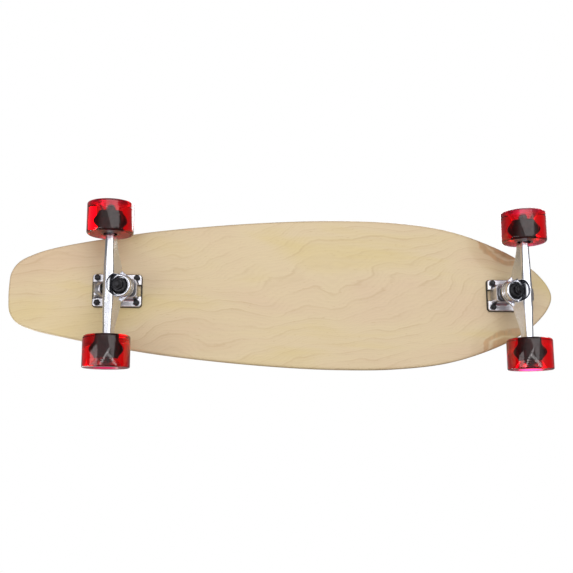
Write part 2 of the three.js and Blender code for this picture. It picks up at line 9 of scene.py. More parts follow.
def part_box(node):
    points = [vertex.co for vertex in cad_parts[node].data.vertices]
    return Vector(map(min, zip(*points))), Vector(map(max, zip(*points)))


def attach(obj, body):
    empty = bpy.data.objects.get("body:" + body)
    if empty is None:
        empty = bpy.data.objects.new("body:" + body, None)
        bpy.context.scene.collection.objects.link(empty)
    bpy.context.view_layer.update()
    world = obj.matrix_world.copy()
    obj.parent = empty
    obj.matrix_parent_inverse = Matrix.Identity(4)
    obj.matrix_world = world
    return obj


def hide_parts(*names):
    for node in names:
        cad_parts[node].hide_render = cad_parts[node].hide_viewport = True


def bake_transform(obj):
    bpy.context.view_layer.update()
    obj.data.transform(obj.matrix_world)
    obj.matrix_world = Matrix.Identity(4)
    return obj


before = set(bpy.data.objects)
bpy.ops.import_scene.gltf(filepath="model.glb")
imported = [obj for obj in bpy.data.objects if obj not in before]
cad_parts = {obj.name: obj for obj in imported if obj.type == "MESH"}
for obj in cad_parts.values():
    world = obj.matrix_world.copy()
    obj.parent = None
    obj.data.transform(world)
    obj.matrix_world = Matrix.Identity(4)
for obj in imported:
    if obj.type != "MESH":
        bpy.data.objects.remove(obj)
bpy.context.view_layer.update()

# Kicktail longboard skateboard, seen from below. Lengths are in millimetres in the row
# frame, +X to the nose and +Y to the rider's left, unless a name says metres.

# ------------------------ dimensions

METRES = 0.001
ON_AXIS = 1e-6
ENDS = ("nose", "tail")
SIDES = {"left": 1, "right": -1}
SKIN_GAP = 0.1


def node_box(node):
    """A CAD node's lowest and highest corner in millimetres."""
    low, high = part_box(node)
    return Vector(low) / METRES, Vector(high) / METRES


def middle(node):
    low, high = node_box(node)
    return (low + high) / 2


TRUCK_X = {end: middle(f"{end}_riser_pad").x for end in ENDS}
AXLE = {end: middle(f"{end}_axle") for end in ENDS}
DECK_BOTTOM = node_box("nose_riser_pad")[1].z + SKIN_GAP
WHEEL_INNER_Y = node_box("nose_left_wheel_tyre")[0].y
AXLE_DROP = DECK_BOTTOM - AXLE["nose"].z
AXLE_OUTBOARD = AXLE["nose"].x - TRUCK_X["nose"]

DECK_THICKNESS = 11.5
DECK_TOP = DECK_BOTTOM + DECK_THICKNESS
KICK_START_X = -353
KICK_ANGLE = math.radians(17)
KICK_RADIUS = 202
UNDER_EDGE_RADIUS = 3.6
TOP_EDGE_RADIUS = 1.5
GRIP_THICKNESS = 0.8
STATIONS = 250
EDGE_STEPS = 4
CURVE_STEPS = 24
WELL_Y = 96
WELL_BALL = (111, 84, 11.5)
WELL_DEPTH = {"nose": 3.5, "tail": 1.2}

# Plan of one half of the deck, nose tip to tail, as (x, half width).
HALF_OUTLINE = (
    (460, 0), (453.5, 19.5), (431.5, 45.3), (397.5, 70), (345, 94), (272, 115.5),
    (182, 126), (92, 127.5), (2, 124.2), (-118, 114.5), (-238, 99.9), (-358, 77.7),
    (-418, 63), (-445, 50.3), (-457.3, 33), (-460, 12),
)

BOLT_SPACING = (63.5, 41.3)
BOLT_HOLE_RADIUS = 2.9
BOLT_RADIUS = 2.4
BOLT_HEAD_RADIUS = 4.6
LOCK_NUT_FLATS = 9.5
LOCK_NUT_HEIGHT = 5.6
RISER_SIZE = (81, 55.5, 3)
PLATE_SIZE = (79, 53.5, 4.5)
PLATE_TOP = -RISER_SIZE[2] - 2 * SKIN_GAP
PLATE_BOTTOM = PLATE_TOP - PLATE_SIZE[2]

KINGPIN_LEAN = math.radians(15)
RING_CENTRE = (11, -47.5)
PIVOT = (-21, -20)
SEAT_AT = -19
RING_HALF = 3
SEAT_RIM = 11
TOP_BUSHING_END = 13.5
WASHER = 1.3
KINGPIN_RADIUS = 4.76
KINGPIN_ENDS = (-30, 25)
KINGPIN_NUT_AT = TOP_BUSHING_END + WASHER + 0.2
KINGPIN_NUT_HEIGHT = 8
AXLE_RADIUS = 3.95
AXLE_HALF_LENGTH = 126
HANGER_HALF_WIDTH = 90
STEM_TIP_RADIUS = 6.2
THREAD_PITCH = 1.06
ROWS_PER_THREAD = 6

WHEEL_RADIUS = 37
WHEEL_WIDTH = 50.5
CORE_TUBE_RADIUS = 13.4
CORE_FLANGE_RADIUS = 18
CORE_WAIST_RADIUS = 12.5
CORE_ENDS = (1, 36)
CORE_STEPS = 40
BULGE_AT = 22
BULGE_HALF = 13.5
RACE_INSIDE = 9.4
BALL_CIRCLE = 7.75
BEARING_WIDTH = 7
BEARING_STARTS = (10.7, 27.7)
AXLE_NUT_AT = BEARING_STARTS[1] + BEARING_WIDTH + 1.2
AXLE_NUT_HEIGHT = 7.5


# ------------------------ frames

def turn_y(angle):
    return Matrix.Rotation(angle, 4, "Y")


def lift(z):
    return Matrix.Translation((0, 0, z))


def truck_frame(end):
    """+X inboard, z = 0 at the deck's underside."""
    half_turn = math.pi if end == "nose" else 0
    return Matrix.Translation((TRUCK_X[end], 0, DECK_BOTTOM)) @ Matrix.Rotation(half_turn, 4, "Z")


def kingpin_frame(end):
    """+Z along the kingpin to its nut, +X outboard, from the ring's centre."""
    centre = Matrix.Translation((RING_CENTRE[0], 0, RING_CENTRE[1]))
    return truck_frame(end) @ centre @ turn_y(math.pi + KINGPIN_LEAN)


def wheel_frame(end, side):
    """+Z outward along the axle, z = 0 at the wheel's inner face."""
    sign = SIDES[side]
    place = Matrix.Translation((AXLE[end].x, sign * WHEEL_INNER_Y, AXLE[end].z))
    return place @ Matrix.Rotation(-sign * math.pi / 2, 4, "X")


def in_turned_frame(x, z, origin, angle):
    """x and z seen from an origin in a frame turned about Y by an angle."""
    dx = x - origin[0]
    dz = z - origin[1]
    return (dx * math.cos(angle) - dz * math.sin(angle),
            dx * math.sin(angle) + dz * math.cos(angle))


AXLE_AT = in_turned_frame(-AXLE_OUTBOARD, -AXLE_DROP, RING_CENTRE, math.pi + KINGPIN_LEAN)
PIVOT_AT = in_turned_frame(*PIVOT, RING_CENTRE, math.pi + KINGPIN_LEAN)
STEM_TILT = math.atan2(PIVOT_AT[0], PIVOT_AT[1])
STEM_LENGTH = math.hypot(*PIVOT_AT)


def bolt_places(end):
    """The four bolt centres of a truck in the row frame, numbered as the CAD nodes are."""
    for index in range(4):
        dx = BOLT_SPACING[0] / 2 * (1 if index < 2 else -1)
        dy = BOLT_SPACING[1] / 2 * (1 if index % 2 == 0 else -1)
        yield index + 1, TRUCK_X[end] + dx, dy


# ------------------------ materials

def new_material(name, **sockets):
    """A Principled material with some of its sockets set."""
    material = bpy.data.materials.new(name)
    material.use_nodes = True
    shader = material.node_tree.nodes["Principled BSDF"]
    for socket, value in sockets.items():
        shader.inputs[socket.replace("_", " ")].default_value = value
    return material


def node(material, kind, inputs=None, **properties):
    """A node with its properties and inputs set, from values or from other sockets."""
    tree = material.node_tree
    made = tree.nodes.new(kind)
    for name, value in properties.items():
        setattr(made, name, value)
    for socket, value in (inputs or {}).items():
        if isinstance(value, bpy.types.NodeSocket):
            tree.links.new(value, made.inputs[socket])
        else:
            made.inputs[socket].default_value = value
    return made


def drive(material, socket, value):
    shader = material.node_tree.nodes["Principled BSDF"]
    material.node_tree.links.new(value, shader.inputs[socket])


def stretched(material, scale):
    """Object coordinates, in metres, scaled along each axis."""
    coordinates = node(material, "ShaderNodeTexCoord")
    mapping = node(material, "ShaderNodeMapping", {"Vector": coordinates.outputs["Object"], "Scale": scale})
    return mapping.outputs["Vector"]


def noise(material, scale, detail=3.0, roughness=0.55, distortion=0.0):
    made = node(material, "ShaderNodeTexNoise", {
        "Vector": stretched(material, scale), "Scale": 1.0, "Detail": detail,
        "Roughness": roughness, "Distortion": distortion})
    return made.outputs["Fac"]


def ramp(material, factor, *stops):
    """A colour ramp through (position, colour) stops."""
    made = node(material, "ShaderNodeValToRGB", {"Fac": factor})
    elements = made.color_ramp.elements
    while len(elements) < len(stops):
        elements.new(0.5)
    for element, (position, colour) in zip(elements, stops):
        element.position = position
        element.color = (*colour, 1)
    return made.outputs["Color"]


def grey_ramp(material, factor, *stops):
    return ramp(material, factor, *[(position, (value,) * 3) for position, value in stops])


def mix(material, factor, first, second, mode="MIX"):
    """Two colours mixed. Each may be a socket or a colour."""
    pick = {0: factor, 6: first, 7: second}
    pick = {key: (*value, 1) if isinstance(value, tuple) else value for key, value in pick.items()}
    return node(material, "ShaderNodeMix", pick, data_type="RGBA", blend_type=mode).outputs[2]


def maths(material, operation, *values):
    return node(material, "ShaderNodeMath", dict(enumerate(values)), operation=operation).outputs[0]


def remap(material, value, low, high):
    """A 0 to 1 value as a number from low to high."""
    made = node(material, "ShaderNodeMapRange", {"Value": value, "To Min": low, "To Max": high})
    return made.outputs["Result"]


def bump(material, height, strength, distance_mm):
    made = node(material, "ShaderNodeBump", {
        "Height": height, "Strength": strength, "Distance": distance_mm * METRES})
    drive(material, "Normal", made.outputs["Normal"])


MAPLE_PALE = (0.735, 0.580, 0.350)
MAPLE_PINK = (0.720, 0.530, 0.345)
MAPLE_YELLOW = (0.715, 0.560, 0.255)
MAPLE_LINE = (0.500, 0.310, 0.140)
PLY_ORANGE = (0.620, 0.300, 0.100)
PLY_DARK = (0.420, 0.205, 0.080)
PLY_BLUR = 0.12
PLY_EDGES = (1.85, 2.5, 2.8, 4.2, 5.0, 6.6, 7.4, 9.0, 9.8, 11.0)
RINGS_PER_METRE = 46.0
RING_WAVE = 8.0
RING_SLANT = 0.22


def maple_material():
    """Rotary-cut maple under a satin lacquer, with its plies on edges and in the wheel wells."""
    material = new_material("maple", Coat_Weight=0.25, Coat_Roughness=0.3)
    tone = noise(material, (3.0, 11.0, 1.0), 3.0, 0.5, 0.6)
    base = ramp(material, tone, (0.30, MAPLE_PINK), (0.52, MAPLE_PALE), (0.70, MAPLE_YELLOW))

    # Growth rings cut by the veneer knife: bands across the board's slant, bent by slow waves.
    place = node(material, "ShaderNodeSeparateXYZ", {"Vector": stretched(material, (1, 1, 1))}).outputs
    across = maths(material, "MULTIPLY_ADD", place["X"], RING_SLANT, place["Y"])
    wave = noise(material, (4.5, 6.5, 1.0), 2.5, 0.42, 0.3)
    field = maths(material, "MULTIPLY", across, RINGS_PER_METRE)
    field = maths(material, "MULTIPLY_ADD", wave, RING_WAVE, field)
    jitter = noise(material, (28.0, 75.0, 1.0), 3.0)
    field = maths(material, "MULTIPLY_ADD", jitter, 0.55, field)
    rings = maths(material, "FRACT", field)
    line = grey_ramp(material, rings, (0.0, 1.0), (0.12, 0.35), (0.50, 0.0), (0.90, 0.0), (1.0, 1.0))
    fine = grey_ramp(material, maths(material, "FRACT", maths(material, "MULTIPLY", field, 4.0)),
                     (0.0, 1.0), (0.40, 0.0), (0.72, 0.0), (1.0, 1.0))
    fade = grey_ramp(material, noise(material, (11.0, 26.0, 1.0), 2.0), (0.36, 0.0), (0.66, 1.0))
    bold = maths(material, "MULTIPLY", maths(material, "MULTIPLY", line, fade), 0.30)
    ring_strength = maths(material, "MULTIPLY_ADD", fine, 0.075, bold)
    wood = mix(material, ring_strength, base, MAPLE_LINE)

    fibre = noise(material, (14.0, 900.0, 60.0), 4.0, 0.6)
    wood = mix(material, 0.16, wood, grey_ramp(material, fibre, (0.25, 0.62), (0.75, 1.0)), "MULTIPLY")
    fleck = grey_ramp(material, noise(material, (120.0, 620.0, 100.0), 2.0), (0.64, 0.0), (0.75, 1.0))
    wood = mix(material, maths(material, "MULTIPLY", fleck, 0.34), wood, MAPLE_LINE)

    # The plies, by height over the face of the underside in millimetres.
    height = node(material, "ShaderNodeAttribute", attribute_name="ply_height").outputs["Fac"]
    uneven = maths(material, "MULTIPLY_ADD", noise(material, (24.0, 40.0, 1.0), 2.0), 1.8, -0.95)
    depth = maths(material, "DIVIDE", maths(material, "ADD", height, uneven), DECK_THICKNESS)
    cross_wood = mix(material, 0.55, wood, ramp(
        material, noise(material, (180.0, 60.0, 400.0), 3.0), (0.35, PLY_DARK), (0.7, PLY_ORANGE)))
    wood = mix(material, cross_plies(material, depth), wood, cross_wood)
    drive(material, "Base Color", wood)
    drive(material, "Roughness", remap(material, fibre, 0.38, 0.52))
    bump(material, maths(material, "ADD", fibre, ring_strength), 0.10, 0.15)
    return material


def cross_plies(material, depth):
    """1 on every second ply and 0 on the others, by the share of the deck's thickness."""
    blur = PLY_BLUR / DECK_THICKNESS
    stops = [(0, 0)]
    for number, edge in enumerate(PLY_EDGES):
        share = edge / DECK_THICKNESS
        stops += [(share - blur, number % 2), (share + blur, (number + 1) % 2)]
    return grey_ramp(material, depth, *stops, (1, 0))


def grip_material():
    material = new_material("grip", Specular_IOR_Level=0.35)
    grit = node(material, "ShaderNodeTexVoronoi", {
        "Vector": stretched(material, (1, 1, 1)), "Scale": 2600.0}, feature="F1")
    sparkle = grey_ramp(material, noise(material, (3200, 3200, 3200), 2.0), (0.6, 0.0), (0.72, 1.0))
    worn = grey_ramp(material, noise(material, (9, 14, 9), 4.0), (0.35, 0.0), (0.75, 1.0))
    tape = mix(material, worn, (0.014, 0.014, 0.015), (0.028, 0.028, 0.028))
    glint = maths(material, "MULTIPLY", sparkle, 0.5)
    drive(material, "Base Color", mix(material, glint, tape, (0.22, 0.22, 0.23)))
    drive(material, "Roughness", remap(material, sparkle, 0.92, 0.55))
    bump(material, maths(material, "SUBTRACT", 1.0, grit.outputs["Distance"]), 0.8, 0.25)
    return material


def rubber_material(name, colour, roughness, grain):
    """A matt moulded rubber or urethane with a faint mottle."""
    material = new_material(name)
    mottle = noise(material, (grain, grain, grain), 4.0)
    lighter = tuple(min(1.0, 1.8 * channel + 0.01) for channel in colour)
    drive(material, "Base Color", ramp(material, mottle, (0.3, colour), (0.75, lighter)))
    drive(material, "Roughness", remap(material, mottle, roughness - 0.08, roughness + 0.12))
    bump(material, mottle, 0.25, 0.08)
    return material


def metal_material(name, colour, roughness, tint, scratch=0.10, marks=(120, 2600, 2600)):
    """A metal with clouded gloss, fine polishing marks and a faint tint in the same clouds."""
    material = new_material(name, Metallic=1.0)
    cloud = noise(material, (70, 55, 70), 4.0)
    drive(material, "Base Color", ramp(material, cloud, (0.3, tint), (0.7, colour)))
    lines = noise(material, marks, 2.0)
    gloss = maths(material, "ADD", remap(material, cloud, -0.05, 0.07), remap(material, lines, -0.03, 0.03))
    drive(material, "Roughness", maths(material, "ADD", gloss, roughness))
    bump(material, lines, scratch, 0.02)
    return material


def black_steel_material():
    """Black oxide on steel, rubbed a little brighter in places."""
    material = new_material("black_oxide", Metallic=0.75)
    cloud = noise(material, (260, 260, 260), 4.0)
    drive(material, "Base Color", ramp(
        material, cloud, (0.35, (0.020, 0.019, 0.022)), (0.62, (0.040, 0.039, 0.043)),
        (0.8, (0.10, 0.10, 0.105))))
    drive(material, "Roughness", remap(material, cloud, 0.26, 0.46))
    bump(material, cloud, 0.15, 0.05)
    return material


def urethane_material():
    """Clear red cast urethane, coloured by the depth that light crosses."""
    material = new_material("clear_red_urethane", Transmission_Weight=1.0, IOR=1.49, Specular_IOR_Level=0.12)
    haze = noise(material, (90, 90, 90), 3.0)
    drive(material, "Base Color", ramp(material, haze, (0.3, (1.0, 0.80, 0.84)), (0.7, (1.0, 0.90, 0.92))))
    matte = node(material, "ShaderNodeAttribute", attribute_name="side_face").outputs["Fac"]
    gloss = remap(material, haze, 0.02, 0.06)
    drive(material, "Roughness", maths(material, "MULTIPLY_ADD", matte, 0.36, gloss))
    bump(material, noise(material, (40, 40, 40), 2.0), 0.02, 0.3)
    output = material.node_tree.nodes["Material Output"]
    depth = node(material, "ShaderNodeVolumeAbsorption", {
        "Color": (0.968, 0.0, 0.45, 1), "Density": 165.0})
    material.node_tree.links.new(depth.outputs["Volume"], output.inputs["Volume"])
    return material


MATERIALS = {
    "maple": maple_material(),
    "grip_tape": grip_material(),
    "riser_rubber": rubber_material("riser", (0.016, 0.013, 0.011), 0.62, 900),
    "polished_aluminium": metal_material("polished_aluminium", (0.77, 0.78, 0.84), 0.25, (0.68, 0.69, 0.76)),
    "black_steel": black_steel_material(),
    "zinc_steel": metal_material("zinc_plate", (0.62, 0.63, 0.66), 0.26, (0.50, 0.51, 0.54), 0.15),
    "black_urethane": rubber_material("bushing", (0.012, 0.012, 0.013), 0.34, 600),
    "red_urethane": urethane_material(),
    "core_nylon": rubber_material("moulded_core", (0.005, 0.004, 0.005), 0.55, 700),
}
CAST_ALUMINIUM = metal_material(
    "tumbled_aluminium", (0.74, 0.73, 0.78), 0.33, (0.62, 0.61, 0.66), 0.3, (900, 900, 900))
SHIELD = rubber_material("bearing_shield", (0.020, 0.020, 0.022), 0.45, 800)
NYLON_INSERT = rubber_material("nylon_insert", (0.030, 0.030, 0.032), 0.40, 800)


# ------------------------ mesh tools

def mesh_from(vertices, faces, name="part"):
    mesh = bpy.data.meshes.new(name)
    mesh.from_pydata([tuple(vertex) for vertex in vertices], [], [tuple(face) for face in faces])
    mesh.update()
    return mesh


def outward(mesh):
    """The same mesh with its faces pointing out."""
    work = bmesh.new()
    work.from_mesh(mesh)
    bmesh.ops.recalc_face_normals(work, faces=work.faces)
    work.to_mesh(mesh)
    work.free()
    return mesh


def rounded(corners, steps=4, closed=True):
    """Corners (x, y, radius) as points, with an arc of that radius at each corner."""
    points = []
    last = len(corners) - 1
    for index, (x, y, radius) in enumerate(corners):
        here = Vector((x, y))
        if radius == 0 or (not closed and index in (0, last)):
            points.append(here)
            continue
        before = (Vector(corners[index - 1][:2]) - here).normalized()
        after = (Vector(corners[(index + 1) % len(corners)][:2]) - here).normalized()
        half = before.angle(after) / 2
        centre = here + (before + after).normalized() * (radius / math.sin(half))
        start = here + before * (radius / math.tan(half)) - centre
        end = here + after * (radius / math.tan(half)) - centre
        points += [centre + start.slerp(end, step / steps) * radius for step in range(steps + 1)]
    return points


def bridge(low, high, closed=True):
    """The faces between two rows of vertex numbers. Corners that coincide count once."""
    faces = []
    count = len(low)
    for step in range(count if closed else count - 1):
        after = (step + 1) % count
        face = list(dict.fromkeys([low[step], low[after], high[after], high[step]]))
        if len(face) > 2:
            faces.append(face)
    return faces


def lathe(profile, segments=48, closed=True, wave=None):
    """(radius, height) points turned about +Z. wave scales a radius by its angle and height."""
    vertices = []
    rings = []
    for radius, height in profile:
        if radius < ON_AXIS:
            rings.append([len(vertices)] * segments)
            vertices.append((0, 0, height))
            continue
        rings.append(list(range(len(vertices), len(vertices) + segments)))
        for step in range(segments):
            angle = 2 * math.pi * step / segments
            reach = radius * (wave(angle, radius, height) if wave else 1)
            vertices.append((reach * math.cos(angle), reach * math.sin(angle), height))
    pairs = zip(rings, rings[1:] + rings[:1] if closed else rings[1:])
    faces = [face for low, high in pairs for face in bridge(low, high)]
    return outward(mesh_from(vertices, faces))


def turned(corners, steps, segments, closed=True):
    """A profile of (radius, height, corner radius) turned about +Z."""
    return lathe(rounded(corners, steps, closed), segments, closed)


def sleeve(inner, outer, low, high, corner_radii, steps, segments):
    """A ring between two radii and two heights. Its corners run from the inner low one outward."""
    places = ((inner, low), (outer, low), (outer, high), (inner, high))
    return turned([(*place, radius) for place, radius in zip(places, corner_radii)], steps, segments)


def cylinder(radius, low, high, segments):
    return lathe([(0, low), (radius, low), (radius, high), (0, high)], segments, closed=False)


def threaded_rod(radius, low, high, pitch, segments):
    """A rod with a helical thread and chamfered ends."""
    root = radius - pitch / 2

    def thread(angle, outer, z):
        phase = (z / pitch + angle / (2 * math.pi)) % 1
        reach = outer - pitch / 2 * abs(2 * phase - 1)
        return min(reach, root + min(z - low, high - z)) / outer

    rows = max(4, round(ROWS_PER_THREAD * (high - low) / pitch))
    side = [(radius, low + (high - low) * row / rows) for row in range(rows + 1)]
    return lathe([(0, low), *side, (0, high)], segments, closed=False, wave=thread)


def joined(*meshes, slots=()):
    """One mesh holding several closed bodies, each with its own material slot if slots are given."""
    work = bmesh.new()
    for index, mesh in enumerate(meshes):
        start = len(work.faces)
        work.from_mesh(mesh)
        work.faces.ensure_lookup_table()
        for face in work.faces[start:]:
            face.material_index = slots[index] if slots else 0
    result = bpy.data.meshes.new("joined")
    work.to_mesh(result)
    work.free()
    return result


def moved(mesh, matrix):
    copy = mesh.copy()
    copy.transform(matrix)
    return copy


def placed(name, data):
    """A new object in the scene."""
    holder = bpy.data.objects.new(name, data)
    bpy.context.scene.collection.objects.link(holder)
    return holder


def evaluated(holder):
    """An object's shape as a mesh. The object is removed."""
    ready = holder.evaluated_get(bpy.context.evaluated_depsgraph_get())
    mesh = bpy.data.meshes.new_from_object(ready)
    bpy.data.objects.remove(holder)
    return mesh


def modified(mesh, kind, **settings):
    """The mesh after one modifier."""
    holder = placed("holder", mesh)
    modifier = holder.modifiers.new(kind.lower(), kind)
    for name, value in settings.items():
        setattr(modifier, name, value)
    return evaluated(holder)


def boolean(mesh, tool, operation="DIFFERENCE"):
    holder = placed("tool", tool)
    result = modified(mesh, "BOOLEAN", object=holder, operation=operation, solver="EXACT")
    bpy.data.objects.remove(holder)
    return result


def plate(outline, holes, low, high, bevel):
    """A flat plate from 2-D outlines, with rounded edges."""
    curve = bpy.data.curves.new("plate", "CURVE")
    curve.dimensions = "2D"
    curve.fill_mode = "BOTH"
    curve.extrude = (high - low) / 2 - bevel
    curve.bevel_depth = bevel
    curve.bevel_resolution = 2
    curve.offset = -bevel
    for loop in [outline, *holes]:
        spline = curve.splines.new("POLY")
        spline.points.add(len(loop) - 1)
        for point, (x, y) in zip(spline.points, loop):
            point.co = (x, y, 0, 1)
        spline.use_cyclic_u = True
    mesh = evaluated(placed("plate", curve))
    mesh.transform(lift((low + high) / 2))
    return outward(mesh)


def circle(radius, x=0, y=0, count=24):
    angles = [2 * math.pi * step / count for step in range(count)]
    return [(x + radius * math.cos(angle), y + radius * math.sin(angle)) for angle in angles]


def rectangle(length, width, corner, x=0, y=0):
    corners = [(x + sx * length / 2, y + sy * width / 2, corner)
               for sx, sy in ((1, 1), (-1, 1), (-1, -1), (1, -1))]
    return rounded(corners, 6)


def finish_piece(name, mesh, body, slot, angle=35, materials=None):
    """Adds a millimetre mesh of the row frame as a named piece of the object."""
    mesh.transform(Matrix.Scale(METRES, 4))
    mesh.name = name
    mesh.materials.clear()
    for material in materials or [MATERIALS[slot]]:
        mesh.materials.append(material)
    mesh.shade_smooth()
    mesh.set_sharp_from_angle(angle=math.radians(angle))
    piece = placed(name, mesh)
    if body:
        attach(piece, body)
    return piece


def replace_node(node_name, mesh, body, slot, angle=35, materials=None):
    """Adds a piece that stands in for a CAD node."""
    piece = finish_piece(f"{node_name}_fine", mesh, body, slot, angle, materials)
    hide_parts(node_name)
    return piece


# ------------------------ distance fields
#
# The castings are built from signed distances in millimetres, negative inside, blended so
# that their joints get the fillets of a casting, and then turned into quads.

def length(*parts):
    return np.sqrt(sum(part * part for part in parts))


def blend(first, second, radius):
    """The union of two fields with a fillet."""
    overlap = np.maximum(radius - np.abs(first - second), 0) / radius
    return np.minimum(first, second) - overlap * overlap * radius / 4


def overlap_of(radius, *fields):
    """What several fields have in common, with its edges rounded."""
    result = fields[0]
    for field in fields[1:]:
        result = -blend(-result, -field, radius)
    return result


def carve(field, tool, radius=0.5):
    return -blend(-field, tool, radius)


def slab(value, low, high):
    return np.maximum(low - value, value - high)


def box_2d(x, y, half_x, half_y, corner):
    qx = np.abs(x) - half_x + corner
    qy = np.abs(y) - half_y + corner
    return length(np.maximum(qx, 0), np.maximum(qy, 0)) + np.minimum(np.maximum(qx, qy), 0) - corner


def rod(x, y, z, radius, low, high, corner=0.5):
    return overlap_of(corner, length(x, y) - radius, slab(z, low, high))


def ease(value, start, end):
    share = np.clip((value - start) / (end - start), 0, 1)
    return share * share * (3 - 2 * share)


def surface(field, low, high, pitch):
    """A quad mesh on the zero level of a field between two corners."""
    counts = [int(math.ceil((b - a) / pitch)) + 1 for a, b in zip(low, high)]
    axes = [a + pitch * np.arange(count) for a, count in zip(low, counts)]
    values = np.broadcast_to(field(*np.meshgrid(*axes, indexing="ij", sparse=True)), counts)
    inside = values < 0
    cells = [count - 1 for count in counts]
    strides = np.array([cells[1] * cells[2], cells[2], 1])
    total = np.zeros(cells[0] * cells[1] * cells[2])
    sums = [np.zeros_like(total) for _ in range(3)]
    quads = []
    for axis in range(3):
        first = [slice(None)] * 3
        second = [slice(None)] * 3
        first[axis] = slice(0, -1)
        second[axis] = slice(1, None)
        crossing = np.argwhere(inside[tuple(first)] != inside[tuple(second)])
        ahead = crossing.copy()
        ahead[:, axis] += 1
        start = values[tuple(crossing.T)]
        end = values[tuple(ahead.T)]
        point = crossing.astype(float)
        point[:, axis] += start / (start - end)
        u, v = [other for other in range(3) if other != axis]
        around = []
        for du, dv in ((-1, -1), (0, -1), (0, 0), (-1, 0)):
            cell = crossing.copy()
            cell[:, u] += du
            cell[:, v] += dv
            key = cell @ strides
            around.append(key)
            total += np.bincount(key, minlength=len(total))
            for part in range(3):
                sums[part] += np.bincount(key, weights=point[:, part], minlength=len(total))
        quad = np.stack(around, axis=1)
        flip = (start < 0) == (axis == 1)
        quad[flip] = quad[flip][:, ::-1]
        quads.append(quad)
    used = np.flatnonzero(total)
    number = np.full(len(total), -1)
    number[used] = np.arange(len(used))
    points = np.stack([part[used] / total[used] for part in sums], axis=1) * pitch + np.array(low)
    return settle(field, points, pitch), number[np.concatenate(quads)]


def settle(field, points, pitch):
    """Moves each point down the field's slope to its zero level."""
    reach = 0.1 * pitch
    for _ in range(2):
        value = field(*points.T)
        slope = np.stack([
            field(*(points + reach * axis).T) - field(*(points - reach * axis).T)
            for axis in np.eye(3)], axis=1) / (2 * reach)
        step = value / np.maximum((slope * slope).sum(axis=1), 0.25)
        points = points - slope * np.clip(step, -pitch / 2, pitch / 2)[:, None]
    return points


def cast(field, low, high, pitch):
    vertices, faces = surface(field, low, high, pitch)
    return mesh_from(vertices.tolist(), faces.tolist())


# ------------------------ deck

def outline_curve(steps):
    """Points of the closed centripetal Catmull-Rom curve through the outline, from the nose tip."""
    half = [Vector(point) for point in HALF_OUTLINE]
    points = half + [Vector((x, -y)) for x, y in reversed(HALF_OUTLINE[1:])]
    count = len(points)
    dense = []
    for index in range(count):
        a, b, c, d = (points[(index + shift) % count] for shift in (-1, 0, 1, 2))
        t0, t1, t2 = ((q - p).length ** 0.5 for p, q in ((a, b), (b, c), (c, d)))
        leave = ((b - a) / t0 - (c - a) / (t0 + t1) + (c - b) / t1) * t1
        arrive = ((c - b) / t1 - (d - b) / (t1 + t2) + (d - c) / t2) * t1
        for step in range(CURVE_STEPS):
            s = step / CURVE_STEPS
            dense.append(
                b * (2 * s**3 - 3 * s**2 + 1) + leave * (s**3 - 2 * s**2 + s)
                + c * (3 * s**2 - 2 * s**3) + arrive * (s**3 - s**2))
    dense = np.array(dense + dense[:1])
    reach = np.concatenate([[0], np.cumsum(np.linalg.norm(np.diff(dense, axis=0), axis=1))])
    even = np.linspace(0, reach[-1], steps + 1)[:-1]
    return np.stack([np.interp(even, reach, dense[:, axis]) for axis in (0, 1)], axis=1)


def well_depth(x, y):
    """How far the underside is scooped out over the wheels."""
    depth = np.zeros_like(x)
    for end in ENDS:
        for sign in SIDES.values():
            away = length((x - AXLE[end].x) / WELL_BALL[0], (y - sign * WELL_Y) / WELL_BALL[1])
            dome = np.sqrt(np.maximum(1 - away * away, 0))
            dish = WELL_DEPTH[end] - WELL_BALL[2] * (1 - dome)
            soft = 0.5 * (dish + np.sqrt(dish * dish + 0.04)) - 0.02
            depth = np.maximum(depth, np.where(away < 1, soft, 0))
    return depth


def sheet_z(x, height):
    """Where a point of the bent board lies, by its plan position and height over the underside."""
    radius = KICK_RADIUS - height
    run = np.maximum(KICK_START_X - x, 0)
    bent = np.minimum(run, radius * math.sin(KICK_ANGLE))
    curved = KICK_RADIUS - np.sqrt(radius * radius - bent * bent)
    return DECK_BOTTOM + curved + (run - bent) * math.tan(KICK_ANGLE)


